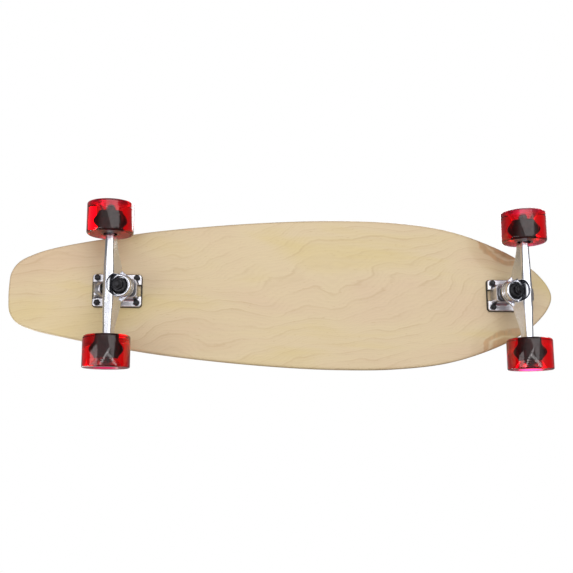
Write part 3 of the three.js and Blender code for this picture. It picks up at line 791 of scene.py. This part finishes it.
def board_mesh(low, high, inset, edge_low, edge_high, across):
    """The pressed board between two heights, with rounded edges and a grid on both faces."""
    count = 2 * STATIONS
    outline = outline_curve(count)
    ahead = np.roll(outline, -1, axis=0) - np.roll(outline, 1, axis=0)
    inward = np.stack([-ahead[:, 1], ahead[:, 0]], axis=1) / np.linalg.norm(ahead, axis=1)[:, None]
    angles = [math.pi / 2 * step / EDGE_STEPS for step in range(EDGE_STEPS + 1)]
    profile = [(edge_low * (1 - math.sin(a)), low + edge_low * (1 - math.cos(a))) for a in angles]
    profile += [(edge_high * (1 - math.cos(a)), high - edge_high * (1 - math.sin(a))) for a in angles]
    plan = [outline + inward * (inset + offset) for offset, _ in profile]
    heights = [np.full(count, height) for _, height in profile]
    rings = [list(range(ring * count, (ring + 1) * count)) for ring in range(len(profile))]
    faces = [face for pair in zip(rings, rings[1:]) for face in bridge(*pair)]
    total = count * len(profile)
    for ring in (0, len(profile) - 1):
        loop = plan[ring]
        rows = [[rings[ring][0]] * (across + 1)]
        for station in range(1, STATIONS):
            shares = np.linspace(0, 1, across + 1)[1:-1, None]
            plan.append(loop[station] * (1 - shares) + loop[count - station] * shares)
            heights.append(np.full(across - 1, profile[ring][1]))
            line = range(total, total + across - 1)
            rows.append([rings[ring][station], *line, rings[ring][count - station]])
            total += across - 1
        rows.append([rings[ring][STATIONS]] * (across + 1))
        for pair in zip(rows, rows[1:]):
            faces += bridge(*pair, closed=False)
    plan = np.concatenate(plan)
    heights = np.concatenate(heights)
    if low == 0:
        heights = heights + well_depth(plan[:, 0], plan[:, 1]) * (1 - heights / high)
    z = sheet_z(plan[:, 0], heights)
    mesh = mesh_from(np.column_stack([plan, z]).tolist(), faces)
    ply = mesh.attributes.new("ply_height", "FLOAT", "POINT")
    ply.data.foreach_set("value", heights.astype(np.float32))
    return outward(mesh)


def drilled(body, tool):
    """A layer of the board with a tool cut out at every deck bolt."""
    tools = [moved(tool, Matrix.Translation((x, y, 0))) for end in ENDS for _, x, y in bolt_places(end)]
    return boolean(body, joined(*tools))


def make_deck():
    body = board_mesh(0, DECK_THICKNESS, 0, UNDER_EDGE_RADIUS, TOP_EDGE_RADIUS, 66)
    low = DECK_BOTTOM - 1
    rim = BOLT_HEAD_RADIUS + 0.6
    countersink = lathe([
        (0, low), (BOLT_HOLE_RADIUS, low), (BOLT_HOLE_RADIUS, DECK_TOP - 2.8),
        (rim, DECK_TOP), (rim, DECK_TOP + 1), (0, DECK_TOP + 1)], 24, closed=False)
    replace_node("deck", drilled(body, countersink), "board", "maple", 40)


def make_grip_tape():
    low = DECK_THICKNESS + SKIN_GAP
    body = board_mesh(low, low + GRIP_THICKNESS, 1.5, 0.1, 0.4, 40)
    hole = cylinder(5.1, DECK_TOP - 1, DECK_TOP + 3, 24)
    replace_node("grip_tape", drilled(body, hole), "board", "grip_tape", 40)


# ------------------------ nuts and bolts

def hexagon_prism(flats, low, high):
    corner = flats / math.sqrt(3)
    vertices = [(x, y, z) for z in (low, high) for x, y in circle(corner, count=6)]
    sides = [(i, (i + 1) % 6, 6 + (i + 1) % 6, 6 + i) for i in range(6)]
    return outward(mesh_from(vertices, [tuple(range(6)), tuple(range(6, 12)), *sides]))


def nut_mesh(flats, bore, height):
    """A locking nut standing on z = 0: a chamfered hexagon under a round collar."""
    corner = flats / math.sqrt(3)
    face = 0.485 * flats
    hexagon_height = 0.68 * height
    collar = 0.43 * flats
    chamfer = 0.66 * (corner - flats / 2)
    blank = lathe([
        (0, 0), (face, 0), (corner + 0.1, chamfer), (corner + 0.1, hexagon_height - chamfer),
        (face, hexagon_height), (0, hexagon_height)], 48, closed=False)
    body = boolean(hexagon_prism(flats, 0, hexagon_height), blank, "INTERSECT")
    crown = turned([
        (0, 0.5, 0), (collar, 0.5, 0), (collar, height, 0.08 * flats), (collar * 0.82, height, 0),
        (collar * 0.80, height - 0.5, 0), (0, height - 0.5, 0)], 4, 48, closed=False)
    shell = boolean(boolean(body, crown, "UNION"), cylinder(bore, -1, height + 1, 32))
    return modified(shell, "BEVEL", width=0.10, segments=2, limit_method="ANGLE",
                    angle_limit=math.radians(25))


def make_deck_bolts():
    tip = DECK_BOTTOM + PLATE_BOTTOM - LOCK_NUT_HEIGHT - 1.2
    head = turned([
        (0, DECK_TOP - 4, 0), (BOLT_RADIUS, DECK_TOP - 4, 0), (BOLT_RADIUS, DECK_TOP - 2.4, 0),
        (BOLT_HEAD_RADIUS, DECK_TOP - 0.25, 0), (BOLT_HEAD_RADIUS, DECK_TOP, 0.1), (0, DECK_TOP, 0)],
        2, 32, closed=False)
    head = boolean(head, hexagon_prism(3.2, DECK_TOP - 1.9, DECK_TOP + 1))
    bolt = joined(head, threaded_rod(BOLT_RADIUS, tip, DECK_TOP - 3.5, 0.8, 20))
    nut = nut_mesh(LOCK_NUT_FLATS, BOLT_RADIUS + 0.05, LOCK_NUT_HEIGHT)
    seat = DECK_BOTTOM + PLATE_BOTTOM - SKIN_GAP
    for end in ENDS:
        for number, x, y in bolt_places(end):
            turn = Matrix.Rotation(math.radians(37 * number + (11 if end == "nose" else 0)), 4, "Z")
            place = Matrix.Translation((x, y, 0)) @ turn
            replace_node(f"{end}_deck_bolt_{number}", moved(bolt, place), "board", "black_steel")
            flip = Matrix.Translation((x, y, seat)) @ turn @ Matrix.Rotation(math.pi, 4, "X")
            replace_node(f"{end}_lock_nut_{number}", moved(nut, flip), "board", "black_steel")


# ------------------------ trucks

def make_risers():
    holes = [circle(BOLT_HOLE_RADIUS, sx * BOLT_SPACING[0] / 2, sy * BOLT_SPACING[1] / 2)
             for sx in (1, -1) for sy in (1, -1)]
    holes.append(rectangle(9, 18, 1.2, 34, 0))
    outline = rectangle(RISER_SIZE[0], RISER_SIZE[1], 6)
    body = plate(outline, holes, -RISER_SIZE[2] - SKIN_GAP, -SKIN_GAP, 0.5)
    for end in ENDS:
        replace_node(f"{end}_riser_pad", moved(body, truck_frame(end)), "board", "riser_rubber")


def baseplate_field(x, y, z):
    """The baseplate in the truck frame: plate, kingpin boss and pivot housing."""
    across = np.abs(y)
    kx, kz = in_turned_frame(x, z, RING_CENTRE, math.pi + KINGPIN_LEAN)
    sx, sz = in_turned_frame(kx, kz, (0, 0), STEM_TILT)
    half_x, half_y = PLATE_SIZE[0] / 2, PLATE_SIZE[1] / 2
    base = overlap_of(1.6, box_2d(x, y, half_x, half_y, 5), slab(z, PLATE_BOTTOM, PLATE_TOP))

    boss = overlap_of(1.4, box_2d(x - 18.2, y, 15.4, 15.2, 7), kz - SEAT_AT, z - PLATE_TOP)

    housing = rod(sx, y, sz, 11.8, STEM_LENGTH - 3, STEM_LENGTH + 9.5, 2)
    pedestal = overlap_of(
        2, box_2d(x + 24, y, 12.5, 11.5, 4), slab(z, PIVOT[1], PLATE_TOP), STEM_LENGTH - 3 - sz)
    body = blend(blend(base, boss, 5), blend(housing, pedestal, 4), 4)

    body = carve(body, length(kx, y) - 5.1)
    body = carve(body, rod(kx, y, kz, 7.8, KINGPIN_ENDS[0] - 8, KINGPIN_ENDS[0] + 5.4))
    body = carve(body, rod(sx, y, sz, 9.5, STEM_LENGTH - 20, STEM_LENGTH + 8.6), 0.8)
    body = carve(body, overlap_of(0.6, across - 9.6, 33.6 - x), 0.8)
    body = carve(body, overlap_of(0.4, np.abs(across - 13.2) - 0.8, x + 33.5))
    body = carve(body, overlap_of(0.8, across - 11.5, x + 37.6), 0.8)
    for bolt_x in (BOLT_SPACING[0] / 2, -BOLT_SPACING[0] / 2):
        hole = length(x - bolt_x, across - BOLT_SPACING[1] / 2) - BOLT_HOLE_RADIUS
        body = carve(body, hole)
    return overlap_of(0.3, body, z - PLATE_TOP)


def make_baseplates():
    low = (-PLATE_SIZE[0] / 2 - 1.2, -PLATE_SIZE[1] / 2 - 1.2, -42)
    high = (PLATE_SIZE[0] / 2 + 1.2, PLATE_SIZE[1] / 2 + 1.2, PLATE_TOP + 1.2)
    body = cast(baseplate_field, low, high, 0.65)
    for end in ENDS:
        replace_node(f"{end}_baseplate", moved(body, truck_frame(end)), "board",
                     "polished_aluminium", 50, [CAST_ALUMINIUM])


def arm_field(x, y, z):
    """An arm of the hanger: a squared beam round the axle, and a web leaning to the deck."""
    across = np.abs(y)
    inboard, drop = in_turned_frame(x - AXLE_AT[0], z - AXLE_AT[1], (0, 0), math.pi - KINGPIN_LEAN)
    drop = -drop
    share = ease(across, 20, 76)
    half = 8.3 - 1.4 * share
    shoulder = -0.80 * inboard + 0.60 * drop - 0.98 * half
    beam = overlap_of(1.0, box_2d(inboard, drop, half, half, 2.6), shoulder, across - HANGER_HALF_WIDTH)
    web = overlap_of(
        1.2,
        drop - half,
        -inboard - half + 3.5,
        0.47 * inboard + 0.88 * drop - 9.9 + 1.5 * share,
        0.90 * inboard + 0.43 * drop - 10.8 + 4.6 * share,
        -0.35 * inboard - 0.94 * drop - 8.7 + 4.0 * share,
        across - 79.5)
    return blend(beam, web, 1.0)


def hanger_field(x, y, z):
    """The hanger in the kingpin frame: arms, ring, flange, neck and stem."""
    across = np.abs(y)
    collar = rod(x, y, z, 17.6, -RING_HALF - 1.6, SEAT_RIM, 2.4)
    groove = overlap_of(0.3, 16.8 - length(x, y), slab(z, 2.0, 3.4))

    sweep = (-0.640, 0.768)
    rim = np.where(x * sweep[1] < sweep[0] * across, length(x, y), sweep[0] * x + sweep[1] * across)
    flange = overlap_of(1.0, rim - 18.7, x - 16.5, across - 37, slab(z, -5.4, -2.0))

    share = np.clip(x / AXLE_AT[0], 0, 1)
    neck = overlap_of(
        1.5, np.abs(z - AXLE_AT[1] * share) - 4.6 - 3.6 * share, across - 17.5 - 8.5 * share,
        -x - 1, x - AXLE_AT[0])
    body = blend(arm_field(x, y, z), neck, 3)
    body = blend(body, carve(collar, groove, 0.3), 1.6)
    body = blend(body, flange, 0.8)

    sx, sz = in_turned_frame(x, z, (0, 0), STEM_TILT)
    thickness = np.interp(sz, [12, 22, 36], [11, 9.5, STEM_TIP_RADIUS])
    stem = overlap_of(0.6, length(sx, y) - thickness, slab(sz, 12, STEM_LENGTH))
    tip = length(sx, y, sz - STEM_LENGTH) - STEM_TIP_RADIUS
    body = blend(body, np.minimum(stem, tip), 4)

    body = carve(body, length(x, y) - 9.6)
    body = carve(body, rod(x, y, z, 13.9, RING_HALF, SEAT_RIM - 2.2))
    mouth = overlap_of(0.3, (length(x / 12.6, y / 14.6) - 1) * 12.6, slab(z, RING_HALF, SEAT_RIM + 1))
    body = carve(body, mouth, 0.8)
    body = carve(body, rod(x, y, z, 15, -60, -RING_HALF))
    flare = 1 + 0.24 * np.clip((z - 20) / 8, 0, 1)
    clearance = overlap_of(0.5, (length(x / 11.6, y / 14.1) - flare) * 11.6, RING_HALF - z)
    body = carve(body, clearance, 0.8)
    mouth_x = 12.8 + 0.55 * np.clip(z - SEAT_RIM, 0, 6)
    hollow = (length(x / mouth_x, y / 17.5) - 1) * 12.8
    body = carve(body, overlap_of(0.5, hollow, SEAT_RIM - z), 1.0)
    return carve(body, length(x - AXLE_AT[0], z - AXLE_AT[1]) - AXLE_RADIUS - 0.1, 0.3)


def make_hangers():
    side = HANGER_HALF_WIDTH + 1.4
    body = cast(hanger_field, (-32, -side, -24), (52, side, 34), 0.7)
    for end in ENDS:
        replace_node(f"{end}_hanger", moved(body, kingpin_frame(end)), f"{end}_hanger",
                     "polished_aluminium", 50)


def make_axles():
    thread = 22
    plain = AXLE_HALF_LENGTH - thread
    middle_part = cylinder(AXLE_RADIUS, -plain, plain, 40)
    end_part = threaded_rod(AXLE_RADIUS, plain - 1, AXLE_HALF_LENGTH, THREAD_PITCH, 40)
    body = joined(middle_part, end_part, moved(end_part, Matrix.Rotation(math.pi, 4, "X")))
    nut = nut_mesh(12.7, AXLE_RADIUS + 0.05, AXLE_NUT_HEIGHT)
    washer = sleeve(AXLE_RADIUS + 0.15, 6.3, 0, 0.9, (0, 0.25, 0.25, 0), 2, 40)
    washers_at = {"inner": BEARING_STARTS[0] - 1.0, "outer": BEARING_STARTS[1] + BEARING_WIDTH + 0.1}
    for end in ENDS:
        hanger = f"{end}_hanger"
        place = Matrix.Translation(AXLE[end]) @ Matrix.Rotation(-math.pi / 2, 4, "X")
        replace_node(f"{end}_axle", moved(body, place), hanger, "zinc_steel")
        for side in SIDES:
            wheel = wheel_frame(end, side)
            outer = wheel @ lift(AXLE_NUT_AT)
            replace_node(f"{end}_{side}_axle_nut", moved(nut, outer), hanger, "black_steel")
            for name, z in washers_at.items():
                finish_piece(f"{end}_{side}_speed_washer_{name}", moved(washer, wheel @ lift(z)),
                             hanger, "zinc_steel")


def make_kingpins():
    low, high = KINGPIN_ENDS
    head = turned([
        (0, low, 0), (6.6, low, 0), (7.2, low + 1, 0.3), (7.2, low + 5, 0.3),
        (KINGPIN_RADIUS, low + 5, 0), (KINGPIN_RADIUS, 12, 0), (0, 12, 0)], 3, 40, closed=False)
    body = joined(head, threaded_rod(KINGPIN_RADIUS, 11, high, THREAD_PITCH, 40))
    nut = nut_mesh(14.3, KINGPIN_RADIUS + 0.05, KINGPIN_NUT_HEIGHT)
    insert = sleeve(KINGPIN_RADIUS + 0.05, 5.9, 6.0, 7.6, (0, 0, 0.3, 0.3), 2, 40)
    for end in ENDS:
        place = kingpin_frame(end)
        seat = place @ lift(KINGPIN_NUT_AT)
        nut_place = seat @ Matrix.Rotation(math.radians(30), 4, "Z")
        replace_node(f"{end}_kingpin", moved(body, place), "board", "black_steel")
        replace_node(f"{end}_kingpin_nut", moved(nut, nut_place), "board", "black_steel")
        finish_piece(f"{end}_kingpin_nut_insert", moved(insert, seat), "board", "black_urethane",
                     materials=[NYLON_INSERT])


def make_bushings():
    bore = KINGPIN_RADIUS + 0.3
    low = SEAT_AT + WASHER + 0.1
    barrel = turned([
        (bore, low, 0.3), (13.0, low, 1.2), (14.3, low + 3.4, 3), (14.3, -RING_HALF - 3.6, 3),
        (13.3, -RING_HALF - 0.2, 0.8), (bore, -RING_HALF - 0.2, 0.3)], 5, 64)
    cone = turned([
        (bore, RING_HALF + 0.2, 0.3), (12.9, RING_HALF + 0.2, 0.6), (12.9, RING_HALF + 2.8, 1.5),
        (10.4, TOP_BUSHING_END, 0.8), (bore, TOP_BUSHING_END, 0.3)], 5, 64)
    for end in ENDS:
        place = kingpin_frame(end)
        for name, mesh, fixed, moving in (
                ("board_side", barrel, low, -RING_HALF), ("road_side", cone, TOP_BUSHING_END, RING_HALF)):
            dense = modified(moved(mesh, place), "SUBSURF", levels=1, subdivision_type="SIMPLE")
            piece = replace_node(f"{end}_bushing_{name}", dense, None, "black_urethane")
            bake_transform(piece)


def make_washers():
    bore = KINGPIN_RADIUS + 0.3
    low = TOP_BUSHING_END + 0.1
    road = sleeve(bore, 11, low, low + WASHER, (0.1, 0.3, 0.6, 0.2), 3, 56)
    board = sleeve(bore, 13.4, SEAT_AT + 0.3, SEAT_AT + WASHER, (0.1, 0.3, 0.3, 0.1), 2, 56)
    for end in ENDS:
        place = kingpin_frame(end)
        replace_node(f"{end}_washer_road_side", moved(road, place), "board", "black_steel")
        replace_node(f"{end}_washer_board_side", moved(board, place), "board", "zinc_steel")


def make_pivot_cups():
    bowl_radius = STEM_TIP_RADIUS + 0.4
    bowl = []
    for step in range(9):
        angle = math.radians(90 - 90 * step / 8)
        bowl.append((bowl_radius * math.cos(angle), STEM_LENGTH + bowl_radius * math.sin(angle)))
    mouth = STEM_LENGTH - 3.2
    back = STEM_LENGTH + 8.2
    outside = rounded([
        (STEM_TIP_RADIUS + 0.6, mouth, 0.3), (9.2, mouth, 0.8), (9.2, back, 0.6), (0, back, 0)],
        3, closed=False)
    body = lathe(bowl + outside, 48, closed=False)
    for end in ENDS:
        place = kingpin_frame(end) @ turn_y(STEM_TILT)
        replace_node(f"{end}_pivot_cup", moved(body, place), "board", "black_urethane")


# ------------------------ wheels

def core_reach(height):
    """The core's radius at a distance from the wheel's inner face: a tube with a round bulge."""
    from_bulge = min(1, abs(height - BULGE_AT) / BULGE_HALF)
    rise = math.cos(math.pi / 2 * from_bulge) ** 1.6
    return CORE_WAIST_RADIUS + (CORE_FLANGE_RADIUS - CORE_WAIST_RADIUS) * rise


CORE_STOPS = np.linspace(*CORE_ENDS, CORE_STEPS + 1).tolist()


def tyre_mesh():
    """The urethane, cast straight onto the core, with its sides ground matte."""
    bore = [(0.92 * core_reach(height) - 0.1, height) for height in CORE_STOPS]
    face = rounded([
        (12, 36, 0), (CORE_TUBE_RADIUS + 3, WHEEL_WIDTH - 4, 1.5), (CORE_TUBE_RADIUS + 6, WHEEL_WIDTH, 1.0),
        (WHEEL_RADIUS, WHEEL_WIDTH, 2.0), (WHEEL_RADIUS, 0, 4.2), (CORE_TUBE_RADIUS + 2.4, 0, 0.8),
        (12, 1, 0)], 7, closed=False)
    mesh = lathe(bore + face[1:-1], 128)
    side = mesh.attributes.new("side_face", "FLOAT", "POINT")
    for vertex in mesh.vertices:
        flat = abs(vertex.co.z - WHEEL_WIDTH / 2) > WHEEL_WIDTH / 2 - 0.05
        recess = vertex.co.z > CORE_ENDS[1] and math.hypot(vertex.co.x, vertex.co.y) < 20
        side.data[vertex.index].value = float(flat or recess)
    return mesh


def core_mesh():
    """The moulded core: a tube with bearing seats, and a lobed bulge that grips the urethane."""
    seat = 11.05
    stop = RACE_INSIDE
    inner_end = BEARING_STARTS[0] + BEARING_WIDTH + 0.1
    outer_start = BEARING_STARTS[1] - 0.1

    def lobes(angle, radius, height):
        bulge = max(0, radius - CORE_WAIST_RADIUS) / (CORE_FLANGE_RADIUS - CORE_WAIST_RADIUS)
        return 1 - 0.035 * bulge * (1 - math.tanh(3 * math.cos(9 * angle)))

    outside = [(core_reach(height), height) for height in CORE_STOPS]
    inside = [(seat, CORE_ENDS[1]), (seat, outer_start), (stop, outer_start),
              (stop, inner_end), (seat, inner_end), (seat, CORE_ENDS[0])]
    return lathe(outside + inside, 144, wave=lobes)


def bearing_mesh():
    """A shielded ball bearing standing on z = 0: its races are steel and its shields dark."""
    width = BEARING_WIDTH
    outer = sleeve(RACE_INSIDE, 10.9, 0, width, (0.2, 0.5, 0.5, 0.2), 3, 64)
    inner = sleeve(4.0, 6.1, 0, width, (0.4, 0.2, 0.2, 0.4), 3, 64)
    shield = sleeve(6.2, 9.35, 0.45, 0.9, (0.1, 0.3, 0, 0), 2, 64)
    upper = moved(shield, lift(width - 1.35))
    work = bmesh.new()
    for x, y in circle(BALL_CIRCLE, count=7):
        place = Matrix.Translation((x, y, width / 2))
        bmesh.ops.create_icosphere(work, subdivisions=3, radius=1.95, matrix=place)
    balls = bpy.data.meshes.new("balls")
    work.to_mesh(balls)
    work.free()
    return joined(outer, inner, balls, shield, upper, slots=(0, 0, 0, 1, 1))


def make_wheels():
    tyre = tyre_mesh()
    core = core_mesh()
    bearing = bearing_mesh()
    low = BEARING_STARTS[0] + BEARING_WIDTH
    spacer = sleeve(4.05, 5.6, low, BEARING_STARTS[1], (0.2, 0.3, 0.3, 0.2), 2, 32)
    for end in ENDS:
        for side in SIDES:
            wheel = f"{end}_{side}"
            body = f"{wheel}_wheel"
            place = wheel_frame(end, side)
            for name, mesh, slot in (("tyre", tyre, "red_urethane"), ("core", core, "core_nylon")):
                piece = finish_piece(f"{wheel}_{name}_fine", moved(mesh, place), body, slot, 40)
                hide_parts(f"{wheel}_wheel_{name}")
            finish_piece(f"{wheel}_spacer", moved(spacer, place), body, "zinc_steel")
            for name, start in zip(("inner", "outer"), BEARING_STARTS):
                seat = place @ lift(start)
                finish_bearing(f"{wheel}_bearing_{name}", moved(bearing, seat), body)


def finish_bearing(name, mesh, body):
    indices = [face.material_index for face in mesh.polygons]
    piece = replace_node(name, mesh, body, "zinc_steel", materials=[MATERIALS["zinc_steel"], SHIELD])
    piece.data.polygons.foreach_set("material_index", indices)


# ------------------------ studio

CAMERA_AT = (-0.1404, 0.2419, -1.3180)
CAMERA_TURN = (-169.867, 5.601, 0.2015)
CAMERA_LENS = 54.06
LIGHT_TARGET = (0, 0, 0.06)


def make_camera():
    camera = placed("camera", bpy.data.cameras.new("camera"))
    camera.data.lens = CAMERA_LENS
    camera.data.sensor_width = 36
    camera.location = CAMERA_AT
    camera.rotation_euler = [math.radians(angle) for angle in CAMERA_TURN]
    bpy.context.scene.camera = camera


def soft_light(name, location, size, power):
    """A rectangular lamp at a place in metres, facing the middle of the object."""
    lamp = bpy.data.lights.new(name, "AREA")
    lamp.shape = "RECTANGLE"
    lamp.size, lamp.size_y = size
    lamp.energy = power
    holder = placed(name, lamp)
    holder.location = location
    away = Vector(LIGHT_TARGET) - Vector(location)
    holder.rotation_euler = away.to_track_quat("-Z", "Y").to_euler()


def make_world():
    """White behind the object, a graded room in its metal, and a graded world through its wheels."""
    world = bpy.data.worlds.new("studio")
    world.use_nodes = True
    bpy.context.scene.world = world
    background = world.node_tree.nodes["Background"]
    coordinates = node(world, "ShaderNodeTexCoord")
    height = node(world, "ShaderNodeSeparateXYZ", {"Vector": coordinates.outputs["Generated"]}).outputs["Z"]
    share = maths(world, "MULTIPLY_ADD", height, 0.5, 0.5)
    room = grey_ramp(world, share, (0.0, 0.80), (0.10, 0.74), (0.20, 0.24), (0.38, 0.10), (0.52, 0.12),
                     (0.70, 0.20), (1.0, 0.30))
    rays = node(world, "ShaderNodeLightPath")
    beyond = grey_ramp(world, share, (0.0, 0.25), (0.50, 0.16), (0.70, 0.30), (0.88, 0.78), (1.0, 0.86))
    through = mix(world, rays.outputs["Is Transmission Ray"], room, beyond)
    colour = mix(world, rays.outputs["Is Camera Ray"], through, (1.0, 1.0, 1.0))
    world.node_tree.links.new(colour, background.inputs["Color"])


FLOOR_HALF = 40
FLOOR_GLOW = 0.42


def make_floor():
    """A pale floor, glowing a little. It shows only from above, so the board can be seen from below."""
    corners = [(x * FLOOR_HALF, y * FLOOR_HALF, 0) for x, y in ((-1, -1), (1, -1), (1, 1), (-1, 1))]
    floor = placed("floor", mesh_from(corners, [(0, 1, 2, 3)], "floor"))
    material = new_material("pale_floor", Roughness=0.85, Specular_IOR_Level=0.1,
                            Emission_Strength=FLOOR_GLOW)
    mottle = noise(material, (3, 3, 3), 4.0)
    drive(material, "Base Color", ramp(
        material, mottle, (0.3, (0.46, 0.46, 0.455)), (0.7, (0.50, 0.50, 0.495))))
    tree = material.node_tree
    clear = node(material, "ShaderNodeBsdfTransparent")
    back = node(material, "ShaderNodeNewGeometry").outputs["Backfacing"]
    shown = node(material, "ShaderNodeMixShader", {
        0: back, 1: tree.nodes["Principled BSDF"].outputs["BSDF"], 2: clear.outputs["BSDF"]})
    tree.links.new(shown.outputs[0], tree.nodes["Material Output"].inputs["Surface"])
    floor.data.materials.append(material)
    floor.visible_shadow = False
    floor.visible_diffuse = False
    floor.visible_glossy = False
    floor.visible_transmission = False


def make_lights():
    soft_light("key_below", (0.25, -0.55, -1.35), (1.9, 0.8), 8.5)
    soft_light("fill_below", (-1.45, 0.35, -0.85), (0.9, 1.1), 8)
    for index, x in enumerate((-0.42, 0.62)):
        soft_light(f"strip_below_{index}", (x, 0.1, -1.1), (0.06, 1.6), 1.2)
    soft_light("key_above", (0.7, -0.9, 1.5), (1.2, 1.2), 26)
    soft_light("fill_above", (-1.1, 0.9, 1.1), (1.0, 1.0), 14)


bpy.context.scene.view_settings.view_transform = "Standard"
make_camera()
make_world()
make_floor()
make_lights()
make_deck()
make_grip_tape()
make_deck_bolts()
make_risers()
make_baseplates()
make_hangers()
make_axles()
make_kingpins()
make_bushings()
make_washers()
make_pivot_cups()
make_wheels()
